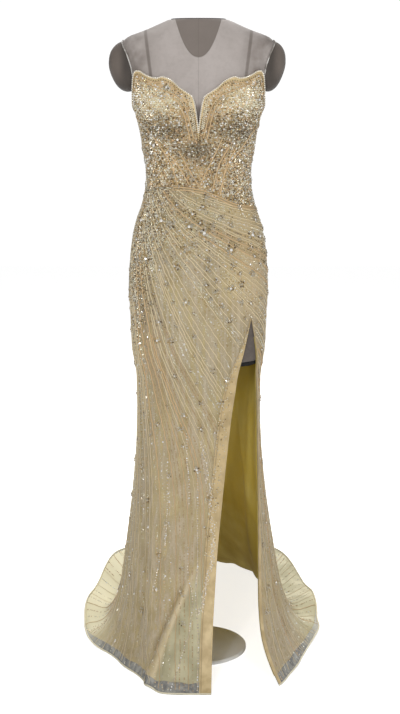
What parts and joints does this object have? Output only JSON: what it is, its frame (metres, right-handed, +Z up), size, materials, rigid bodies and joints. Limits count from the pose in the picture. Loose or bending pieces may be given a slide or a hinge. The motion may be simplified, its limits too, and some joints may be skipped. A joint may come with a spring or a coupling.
{
  "type": "evening gown on dress form",
  "caption": "Strapless fitted beaded evening gown with scalloped neckline, high front slit and small floor train, worn by a limbless dress form on a pole stand",
  "frame": {"origin": "On the floor, on the axis of the stand's pole, at the middle of the stand's flat foot", "axes": "+Z up; -Y the gown's front; +X to the right as seen from the front; the train lies towards +Y"},
  "size_m": [0.6004, 1.1988, 1.4829],
  "materials": {
    "beaded_tulle": "sheer champagne tulle sewn all over with silver, gold and pearl beads",
    "lining_satin": "pale pistachio matt satin lining",
    "beaded_bodice": "champagne tulle over nude cloth, densely beaded",
    "edge_trim": "peach-champagne bands and pearl-white binding",
    "form_cover": "plain grey jersey cover with seams",
    "form_cap_cover": "dark grey-brown cover",
    "form_rim": "matt black",
    "stand_metal": "white satin paint",
    "zip_tape": "nude woven tape",
    "zip_metal": "pale metal"
  },
  "bodies": {
    "gown": {"skirt_front": "beaded_tulle", "skirt_right": "beaded_tulle", "skirt_back_left": "beaded_tulle", "skirt_back_right": "beaded_tulle", "lining_front": "lining_satin", "lining_right": "lining_satin", "lining_back_left": "lining_satin", "lining_back_right": "lining_satin", "bodice_front": "beaded_bodice", "bodice_side_left": "beaded_bodice", "bodice_side_right": "beaded_bodice", "bodice_back_left": "beaded_bodice", "bodice_back_right": "beaded_bodice", "neck_binding_front": "edge_trim", "neck_binding_back_left": "edge_trim", "neck_binding_back_right": "edge_trim", "slit_band_left": "edge_trim", "slit_band_right": "edge_trim", "zip_strip": "zip_tape", "zip_slider": "zip_metal", "form_torso": "form_cover", "form_cap_left": "form_cap_cover", "form_cap_right": "form_cap_cover", "form_neck_plate": "form_cap_cover", "form_rim": "form_rim", "stand_pole": "stand_metal", "stand_base": "stand_metal"},
    "zip_tab": {"zip_tab": "zip_metal"}
  },
  "joints": [
    {"name": "zip_tab_swing", "type": "hinge", "parent": "gown", "child": "zip_tab", "pos_m": [0, 0.09407, 1.233], "axis": [1, 0, 0], "range_deg": [0, 150]}
  ]
}
